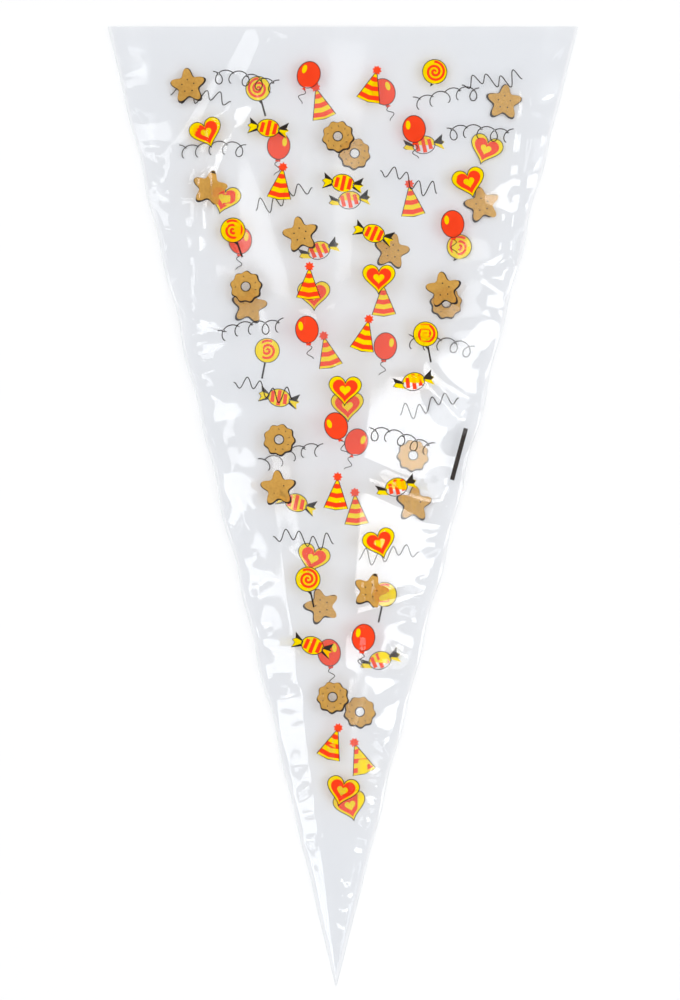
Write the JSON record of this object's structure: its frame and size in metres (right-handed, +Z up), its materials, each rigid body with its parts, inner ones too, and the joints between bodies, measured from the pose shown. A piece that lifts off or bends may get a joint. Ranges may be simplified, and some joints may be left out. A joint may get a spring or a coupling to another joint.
{
  "type": "clear film cone bag",
  "caption": "Pointed sweet bag of thin clear film: triangular front and back panels welded along the slanted sides and open across the straight top, lying slightly puffed.",
  "frame": {"origin": "on the table, under the middle of the bag's length and of its mouth's width", "axes": "+Y from the tip to the open mouth, +X across the bag, +Z up out of the front panel"},
  "size_m": [0.181, 0.37, 0.0142],
  "materials": {
    "clear_film": "clear, crisp, high gloss",
    "ink_red": "translucent printing ink, gloss",
    "ink_yellow": "translucent printing ink, gloss",
    "ink_brown": "translucent printing ink, gloss",
    "ink_dark": "thin printed lines, gloss"
  },
  "bodies": {
    "root": {"cone_bag": "clear_film"}
  },
  "joints": []
}
